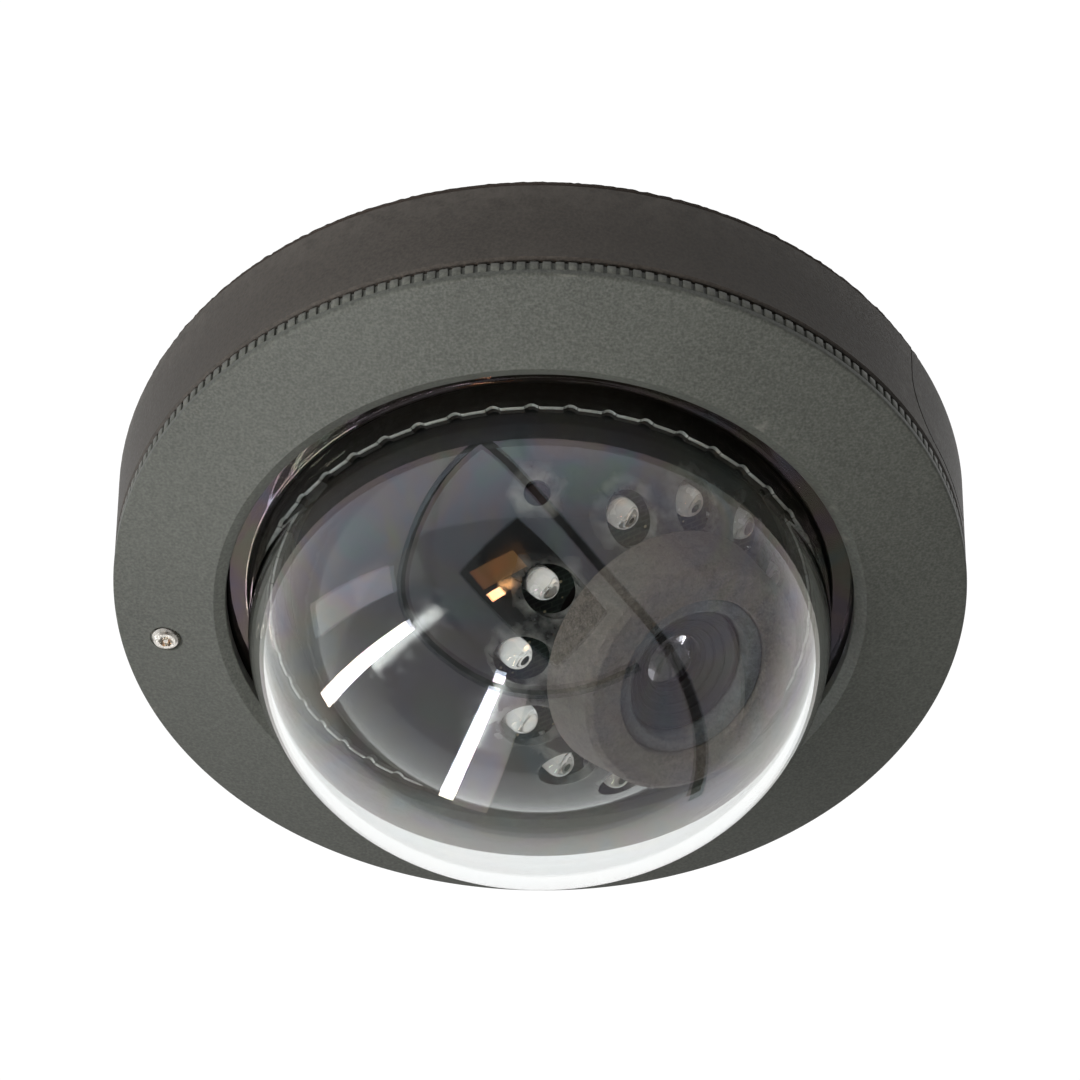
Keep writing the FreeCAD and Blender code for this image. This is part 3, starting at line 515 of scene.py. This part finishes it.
def make_dome():
    """The clear dome as one closed wall, with the flange that the ring clamps."""
    outside = ellipse(DOME_RADIUS, DOME_DEPTH, 0, 90, 96)
    inside = ellipse(DOME_RADIUS - DOME_WALL, DOME_DEPTH - DOME_WALL, 90, 0, 96)
    flange = rounded([
        (DOME_RADIUS, DOME_SHOULDER, 0), (DOME_RADIUS, FLANGE_LOW, 1.0), (FLANGE_RADIUS, FLANGE_LOW, 0.3),
        (FLANGE_RADIUS, FLANGE_TOP, 0.3), (DOME_RADIUS - DOME_WALL, FLANGE_TOP, 0.6),
        (DOME_RADIUS - DOME_WALL, DOME_SHOULDER, 0),
    ], 8, False)
    line = outside + flange[1:-1] + inside
    dome = lathe("dome_bubble", line, 320, closed=False, sharp=50.0)
    dress(dome, CLEAR_DOME, "cover", ["clear_dome"])


def make_painted_lip_highlight():
    """The thin wavy lip along the scalloped edge of the collar, its pale grey a painted highlight along that
    edge.
    """
    scallops, low, deep, bite, steps = 47, -26.82, 0.75, 1.1, 14
    centre = low + deep - bite
    half_bite = math.sqrt(bite ** 2 - (low - centre) ** 2)
    path = []
    for column in range(scallops * steps):
        a = 2 * math.pi * column / (scallops * steps)
        along = (((column / steps) + 0.5) % 1.0 - 0.5) * 2 * math.pi * 46.3 / scallops
        z = centre + math.sqrt(bite ** 2 - along ** 2) if abs(along) < half_bite else low
        path.append((a, z))
    verts, faces = [], []
    section = [(46.1, 0.05), (46.08, -0.05), (46.2, -0.12), (46.5, -0.12), (46.62, -0.05), (46.6, 0.05)]
    for a, z in path:
        verts += [(r * MM * math.cos(a), r * MM * math.sin(a), (z + up) * MM) for r, up in section]
    rows = len(section)
    for column in range(len(path)):
        here, there = column * rows, ((column + 1) % len(path)) * rows
        for i in range(rows):
            j = (i + 1) % rows
            faces.append((here + i, there + i, there + j, here + j))
    dress(new_object("ring_lip_painted_highlight", verts, faces, sharp=50.0), RING_LIP_HIGHLIGHT, "cover")


# ---- drum --------------------------------------------------------------------------------------


def make_gasket():
    """Foam gasket: its edge is cut a little unevenly, its cells show, and the holes go through it."""
    segments = 720
    outer, thick, rows = 73.05, 1.5, 9
    line = [(0, -0.02), (30, -0.02), (60, -0.02), (71.5, -0.02)]
    line += [(outer, -0.02 - (thick - 0.04) * i / (rows - 1)) for i in range(rows)]
    line += [(71.5, 0.02 - thick), (60, 0.02 - thick), (30, 0.02 - thick), (0, 0.02 - thick)]
    verts, faces = lathe_mesh(line, segments, False)
    shaped = []
    for x, y, z in verts:
        spot = Vector((x, y, z)) / MM
        radius = math.hypot(spot.x, spot.y)
        if radius > 72:
            bulge = 0.14 * math.sin(math.pi * min(1.0, max(0.0, -spot.z / thick)))
            rough = 0.20 * noise.noise(spot * 1.1) + 0.12 * noise.noise(spot * 3.4)
            spot *= (outer - 0.32 + bulge + rough) / radius
            spot.z = z / MM
        shaped.append(spot * MM)
    gasket = new_object("foam_gasket", shaped, faces)
    for degrees in (75, 195, 315):
        gasket = carved(gasket, lathe("hole", [(0, 1), (0, -3), (2.5, -3), (2.5, 1)], 32,
                                      about_z(math.radians(degrees)) @ shift(62, 0, 0)))
    gasket = carved(gasket, lathe("hole", [(0, 1), (0, -3), (8.0, -3), (8.0, 1)], 48, shift(0, 22, 0)))
    dress(gasket, FOAM, "drum", ["mounting_gasket"])


# ---- ball: lamps, hood -------------------------------------------------------------------------


def lamp_places():
    for index in range(LAMP_COUNT):
        angle = math.radians(GAP_ANGLE + 180 + LAMP_STEP * (index - (LAMP_COUNT - 1) / 2))
        yield HEAD @ about_z(angle) @ shift(LAMP_CIRCLE, 0, LAMP_SEAT)


def make_lamps():
    """Clear lamps: a domed epoxy case over a bright cup with its chip, bond wire and two posts."""
    case_radius, shoulder, dent = 2.5, 5.7, 0.11
    case_line = rounded([(0, 0.05, 0), (2.9, 0.05, 0.1), (2.9, 1.0, 0.15), (case_radius, 1.0, 0.1),
                         (case_radius, shoulder, 0)], 4, False)
    for degrees in range(10, 91, 10):
        t = math.radians(degrees)
        case_line.append((case_radius * math.cos(t), shoulder + case_radius * math.sin(t)))
    cup_line = rounded([(0, 2.6, 0), (0.9, 2.6, 0.2), (1.75, 4.05, 0.1), (2.0, 4.05, 0.1), (1.95, 3.4, 0.1),
                        (1.1, 2.0, 0.1), (0, 2.0, 0)], 4, False)
    die_line = rounded([(0, 2.6, 0), (0.36, 2.6, 0.02), (0.34, 3.0, 0.05), (0, 3.0, 0)], 3, False)
    cases, metal, dies = [], [], []
    for number, place in enumerate(lamp_places()):
        cases.append(lathe("case", case_line, 48, place, False))
        verts, faces = lathe_mesh(cup_line, 24, False)
        rng = random.Random(number)
        dented = [Vector(v) + Vector([rng.uniform(-1, 1) for _ in range(3)]) * dent * MM for v in verts]
        metal.append(new_object("cup", dented, faces, place, 12.0))
        for x, y, high in ((-0.9, 0, 2.3), (1.35, 0.9, 3.6)):
            post_line = rounded([(0, 0.1, 0), (0.28, 0.1, 0), (0.28, high, 0.1), (0, high, 0)], 3, False)
            metal.append(lathe("post", post_line, 8, place @ shift(x, y, 0), False))
        dies.append(lathe("die", die_line, 4, place @ about_z(0.4 + number), False))
        bend = [(0.1 * MM, 0, 3.0 * MM), (0.5 * MM, 0.3 * MM, 3.9 * MM), (1.3 * MM, 0.85 * MM, 3.7 * MM)]
        metal.append(wire("bond", bend, 0.05 * MM, place))
    case = joined("lamp_cases", cases)
    dress(case, EPOXY, "ball", ["infrared_lamps"])
    cups = joined("lamp_cups", metal)
    cups.data.set_sharp_from_angle(angle=math.radians(12))
    dress(cups, SILVER, "ball")
    dress(joined("lamp_dies", dies), DIE, "ball")


def wire(name, path, radius, place, sides=6):
    """A round wire along a path."""
    verts, faces = [], []
    for i, spot in enumerate(path):
        ahead = Vector(path[min(i + 1, len(path) - 1)]) - Vector(path[max(i - 1, 0)])
        upright = abs(ahead.normalized().z) >= 0.9
        side = ahead.cross(Vector((1, 0, 0)) if upright else Vector((0, 0, 1))).normalized()
        up = side.cross(ahead).normalized()
        for k in range(sides):
            a = 2 * math.pi * k / sides
            verts.append(Vector(spot) + (side * math.cos(a) + up * math.sin(a)) * radius)
    for i in range(len(path) - 1):
        for k in range(sides):
            j = (k + 1) % sides
            faces.append((i * sides + k, i * sides + j, (i + 1) * sides + j, (i + 1) * sides + k))
    faces.append(tuple(range(sides))[::-1])
    faces.append(tuple(range((len(path) - 1) * sides, len(path) * sides)))
    return new_object(name, verts, faces, place)


def seat_height(radius):
    """How far along the lens axis the ball's surface is at that radius, with a hair of clearance."""
    return math.sqrt(44.24 ** 2 - radius ** 2)


def felt_ring(name, line, material, replaced, seed, hairs):
    """A turned felt ring with a matted, slightly lumpy surface and loose fibres."""
    segments = 300
    verts, faces = lathe_mesh(line, segments)
    top = max(z for _, z in line)
    lumpy = []
    for v in verts:
        spot = Vector(v) / MM
        push = (0.10 * noise.noise(spot * 0.35 + Vector((seed, 0, 0))) + 0.07 * noise.noise(spot * 1.6)
                + 0.05 * noise.noise(spot * 4.0))
        away = Vector((spot.x, spot.y, 0)).normalized()
        on_top = spot.z > top - 0.8
        lumpy.append((spot + (Vector((0, 0, push)) - away * 0.05 if on_top else away * 0.6 * push)) * MM)
    ring = new_object(name + "_body", lumpy, faces, HEAD, 60.0)
    dress(ring, material, "ball", replaced)
    rng = random.Random(seed)
    fibre_verts, fibre_faces = [], []
    radii = [r for r, z in line if z > top - 0.9]
    r_low, r_high = min(radii), max(radii)
    for _ in range(hairs):
        a = rng.uniform(0, 2 * math.pi)
        r = rng.uniform(r_low, r_high)
        root = Vector((r * math.cos(a), r * math.sin(a), top - 0.12 - (0.5 if r > r_high - 0.5 else 0.0)))
        way = Vector((rng.gauss(0, 1), rng.gauss(0, 1), abs(rng.gauss(0, 0.25)))).normalized()
        length, width = rng.uniform(0.3, 0.9), 0.018
        side = way.cross(Vector((0, 0, 1))).normalized() * width
        tip = root + way * length
        tip.z = min(tip.z, top + 0.1)
        middle = (root + tip) / 2 + Vector((0, 0, 0.06))
        base = len(fibre_verts)
        rise = Vector((0, 0, width * 1.6))
        for spot, w in ((root, 1.0), (middle, 1.0), (tip, 0.4)):
            fibre_verts += [(spot + side * w) * MM, (spot - side * w) * MM, (spot + rise * w) * MM]
        for k in (0, 3):
            for m in range(3):
                n = (m + 1) % 3
                fibre_faces.append((base + k + m, base + k + n, base + k + 3 + n, base + k + 3 + m))
    mesh = bpy.data.meshes.new(name + "_fibres")
    mesh.from_pydata([tuple(v) for v in fibre_verts], [], fibre_faces)
    mesh.transform(HEAD)
    fibres = bpy.data.objects.new(name + "_fibres", mesh)
    bpy.context.scene.collection.objects.link(fibres)
    dress(fibres, material, "ball")


def make_hood():
    """The outer felt cone and the inner ring, both resting on the ball."""
    reach, step, front, root, inner, bore = 49.0, 48.0, 19.9, 21.45, 13.7, 11.3
    under = [inner] + [inner + (root - inner) * k / 8 for k in range(1, 9)]
    outer = [(r, seat_height(r)) for r in under]
    top = rounded([(root, seat_height(root), 0), (front, reach - 0.9, 0.9), (front - 0.9, reach - 0.1, 0.7),
                   (inner + 0.1, reach - 0.1, 0.35), (inner, seat_height(inner), 0)], 6, False)
    outer += dense(top[1:-1] + [(inner, reach - 1.4)], 0.45)
    felt_ring("hood", outer, FELT, ["felt_hood"], 3, 5200)
    ring = [(bore, seat_height(bore) - 0.3)]
    ring += dense([(inner - 0.06, seat_height(inner)), (inner - 0.06, step - 0.2), (inner - 0.3, step),
                   (bore + 0.3, step), (bore, step - 0.3), (bore, seat_height(bore) + 0.2)], 0.4)
    felt_ring("inner", ring, FELT_INNER, ["felt_inner_ring"], 11, 2600)


def dense(line, step):
    """The line with points added so that none are further apart than step."""
    points = [line[0]]
    for (ra, za), (rb, zb) in zip(line, line[1:]):
        count = max(1, math.ceil(math.hypot(rb - ra, zb - za) / step))
        points += [(ra + (rb - ra) * k / count, za + (zb - za) * k / count) for k in range(1, count + 1)]
    return points


# ---- lens --------------------------------------------------------------------------------------


def make_lens():
    """The front element, its bezel, and the ribbed baffle inside the barrel's mouth."""
    front, radius = 45.6, 5.26
    seat = front - 2.6
    spread = [radius * math.sin(math.radians(t)) / math.sin(math.radians(32)) for t in (32, 24, 16, 8, 0)]
    cap = [(r, seat - 0.9 + 1.25 * (1 - (r / radius) ** 2)) for r in spread]
    line = [(0, seat - 2.2), (radius - 0.1, seat - 2.2), (radius, seat - 2.1)] + cap
    glass = lathe("front_glass", line, 96, HEAD, False, 60.0)
    dress(glass, GLASS, "camera_module", ["front_lens"])
    ribs = []
    steps = 3
    for k in range(steps):
        r0, r1 = (radius + 0.25 + n * (9.7 - radius - 0.25) / steps for n in (k, k + 1))
        z0, z1 = (seat + (front - seat) * (r - radius) / (9.9 - radius) + 0.03 for r in (r0, r1))
        ribs += [(r0, z0), (r0 + 0.06, z0 + 0.16), (r1 - 0.16, z0 + 0.16), (r1 - 0.08, z1)]
    under = [(r, z - 0.35) for r, z in reversed(ribs)]
    baffle = lathe("lens_baffle", ribs + under, 128, HEAD)
    dress(baffle, LENS_BLACK, "camera_module")
    bezel = rounded([(radius - 0.35, seat - 0.85, 0), (radius - 0.2, seat + 0.12, 0.05),
                     (radius + 0.3, seat + 0.28, 0.08), (radius + 0.3, seat - 0.3, 0.05)], 4)
    ring = lathe("lens_bezel", bezel, 128, HEAD)
    dress(ring, LENS_BLACK, "camera_module")


make_cover()
make_dome()
make_painted_lip_highlight()
make_gasket()
make_lamps()
make_hood()
make_lens()


# ---- camera, floor and light -------------------------------------------------------------------

COVER_RIM = Vector((0, 0, -23.3 * MM))
CAMERA_BELOW = math.radians(46.1)
CAMERA_DISTANCE = 0.709
CAMERA_ROLL = math.radians(0.4)
FLOOR_DEPTH = -1.3


def add_camera():
    """Looks up at the cover from below and in front."""
    data = bpy.data.cameras.new("Camera")
    data.lens = 138.9
    data.sensor_width = 36.0
    data.shift_y = 0.06
    data.clip_start = 0.01
    data.clip_end = 50.0
    camera = bpy.data.objects.new("Camera", data)
    back = Vector((0, -math.cos(CAMERA_BELOW), -math.sin(CAMERA_BELOW)))
    camera.location = COVER_RIM + back * CAMERA_DISTANCE
    turn = (-back).to_track_quat("-Z", "Y").to_matrix().to_4x4()
    camera.rotation_euler = (turn @ Matrix.Rotation(CAMERA_ROLL, 4, "Z")).to_euler()
    bpy.context.scene.collection.objects.link(camera)
    bpy.context.scene.camera = camera


def add_floor():
    """A plain pale sheet well below the object."""
    grid, half = 24, 3.0
    places = [half * (2 * i / grid - 1) for i in range(grid + 1)]
    verts = [(x, y, FLOOR_DEPTH) for x in places for y in places]
    floor = dress(new_object("studio_floor", verts, grid_faces(grid + 1, grid + 1)), PALE_FLOOR)


def soft_light(name, start, end, distance, width, strength, colour=(1, 1, 1), mirrored=True, lighting=True):
    """A soft box between two directions from the ball.

    It shows in reflections if mirrored, and lights dull surfaces if lighting.
    """
    a, b = Vector(start).normalized(), Vector(end).normalized()
    middle = (a + b).normalized() * distance
    data = bpy.data.lights.new(name, "AREA")
    data.shape = "RECTANGLE"
    data.size = distance * 2 * math.tan(a.angle(b) / 2)
    data.size_y = width
    data.energy = strength * data.size * width
    data.color = colour
    light = bpy.data.objects.new(name, data)
    light.visible_glossy = mirrored
    light.visible_transmission = mirrored
    light.visible_diffuse = lighting
    along = (b - a).normalized()
    towards = middle.normalized()
    along = (along - towards * along.dot(towards)).normalized()
    turn = Matrix((along, towards.cross(along), towards)).transposed().to_4x4()
    light.matrix_world = Matrix.Translation(middle + Vector((0, 0, -0.02))) @ turn
    bpy.context.scene.collection.objects.link(light)


def add_world():
    """A white backdrop behind the object, and a grey tent on the camera's side, paler at its walls."""
    world = bpy.data.worlds.new("World")
    world.use_nodes = True
    tree = world.node_tree
    background = tree.nodes["Background"]
    background.inputs["Color"].default_value = (1, 1, 1, 1)
    where = tree.nodes.new("ShaderNodeTexCoord")

    def fade(way, limits):
        dot = tree.nodes.new("ShaderNodeVectorMath")
        dot.operation = "DOT_PRODUCT"
        dot.inputs[1].default_value = way
        tree.links.new(where.outputs["Generated"], dot.inputs[0])
        spread = tree.nodes.new("ShaderNodeMapRange")
        for socket, number in zip(("From Min", "From Max", "To Min", "To Max"), limits):
            spread.inputs[socket].default_value = number
        tree.links.new(dot.outputs["Value"], spread.inputs["Value"])
        return spread.outputs[0]

    room = fade((-0.4, -0.25, 0.7), (-0.7, 0.5, 0.04, 0.85))
    behind = fade((0, math.cos(CAMERA_BELOW), math.sin(CAMERA_BELOW)), (0.1, 0.45, 0.0, 1.0))
    right = fade((0.8, -0.4, 0.0), (0.4, 0.95, 0.0, 0.45))
    walls = tree.nodes.new("ShaderNodeMath")
    walls.operation = "MAXIMUM"
    tree.links.new(room, walls.inputs[0])
    tree.links.new(right, walls.inputs[1])
    pick = tree.nodes.new("ShaderNodeMix")
    tree.links.new(behind, pick.inputs[0])
    tree.links.new(walls.outputs[0], pick.inputs[2])
    pick.inputs[3].default_value = 1.05
    path = tree.nodes.new("ShaderNodeLightPath")
    soften = tree.nodes.new("ShaderNodeMapRange")
    soften.inputs["To Min"].default_value = 1.0
    soften.inputs["To Max"].default_value = 0.55
    tree.links.new(path.outputs["Is Diffuse Ray"], soften.inputs["Value"])
    scale = tree.nodes.new("ShaderNodeMath")
    scale.operation = "MULTIPLY"
    tree.links.new(pick.outputs[0], scale.inputs[0])
    tree.links.new(soften.outputs[0], scale.inputs[1])
    tree.links.new(scale.outputs[0], background.inputs["Strength"])
    bpy.context.scene.world = world
    bpy.context.scene.view_settings.view_transform = "Standard"


TENT = 1.14


def cloth(name, rows):
    """A dark cloth in the tent around the object, given as rows of directions from the ball."""
    verts = [Vector(way).normalized() * TENT for row in rows for way in row]
    sheet = new_object(name, verts, grid_faces(len(rows), len(rows[0])), shift(0, 0, -20))
    dress(sheet, DARK_CLOTH)


def add_tent_panel():
    """The dark opening in the tent, a square bent round the object."""
    top, right, low, left = (Vector(c) for c in (
        (-0.142, -0.911, -0.388), (0.369, -0.37, -0.852), (0.09, -0.043, -0.995), (-0.464, -0.577, -0.673)))
    steps = 8
    rows = [[top.lerp(right, u / steps).lerp(left.lerp(low, u / steps), v / steps)
             for u in range(steps + 1)] for v in range(steps + 1)]
    cloth("tent_opening", rows)


def add_tent_seam(name, path, width):
    """A dark seam of the tent along a path of directions."""
    line = [Vector(way).normalized() for way in path]
    for _ in range(3):
        softened = [p for a, b in zip(line, line[1:]) for p in (a.lerp(b, 0.25), a.lerp(b, 0.75))]
        line = [line[0]] + softened + [line[-1]]
    rows = []
    for i, way in enumerate(line):
        along = line[min(i + 1, len(line) - 1)] - line[max(i - 1, 0)]
        across = way.cross(along).normalized() * width / 2
        rows.append([way - across, way, way + across])
    cloth(name, rows)


add_camera()
add_floor()
add_world()
add_tent_panel()
add_tent_seam("tent_seam_left", [
    (-0.304, -0.822, 0.482), (-0.569, -0.818, 0.086), (-0.711, -0.645, -0.28), (-0.741, -0.284, -0.609),
    (-0.511, -0.068, -0.857), (-0.153, 0.122, -0.981), (0.208, 0.104, -0.973), (0.493, -0.001, -0.87)], 0.055)
add_tent_seam("tent_seam_right", [
    (-0.304, -0.822, 0.482), (0.026, -0.953, -0.302), (0.383, -0.575, -0.723), (0.633, -0.114, -0.766),
    (0.676, 0.361, -0.643), (0.49, 0.826, -0.279)], 0.06)
soft_light("Key", (-0.66, -0.36, -0.66), (-0.21, -0.66, -0.72), 0.28, 0.20, 32.0, mirrored=False)
soft_light("StripLeft", (-0.827, 0.488, -0.279), (-0.66, -0.199, -0.724), 1.49, 0.13, 55.0, lighting=False)
soft_light("StripMiddle", (-0.328, 0.764, -0.555), (-0.19, 0.006, -0.982), 1.13, 0.07, 60.0, lighting=False)
soft_light("StripGlow", (-0.24, 0.80, -0.55), (-0.10, 0.04, -0.99), 1.2, 0.17, 2.8, lighting=False)
soft_light("WarmGlow", (-0.36, -0.56, -0.75), (-0.12, -0.72, -0.68), 1.0, 0.16, 2.6, (1.0, 0.42, 0.12),
           lighting=False)
soft_light("LeftPatch", (-0.981, 0.149, -0.124), (-0.797, -0.389, -0.462), 1.15, 0.24, 2.6, lighting=False)
soft_light("WarmLamp", (-0.279, -0.472, -0.836), (-0.212, -0.527, -0.823), 0.95, 0.06, 90.0, (1.0, 0.5, 0.2))
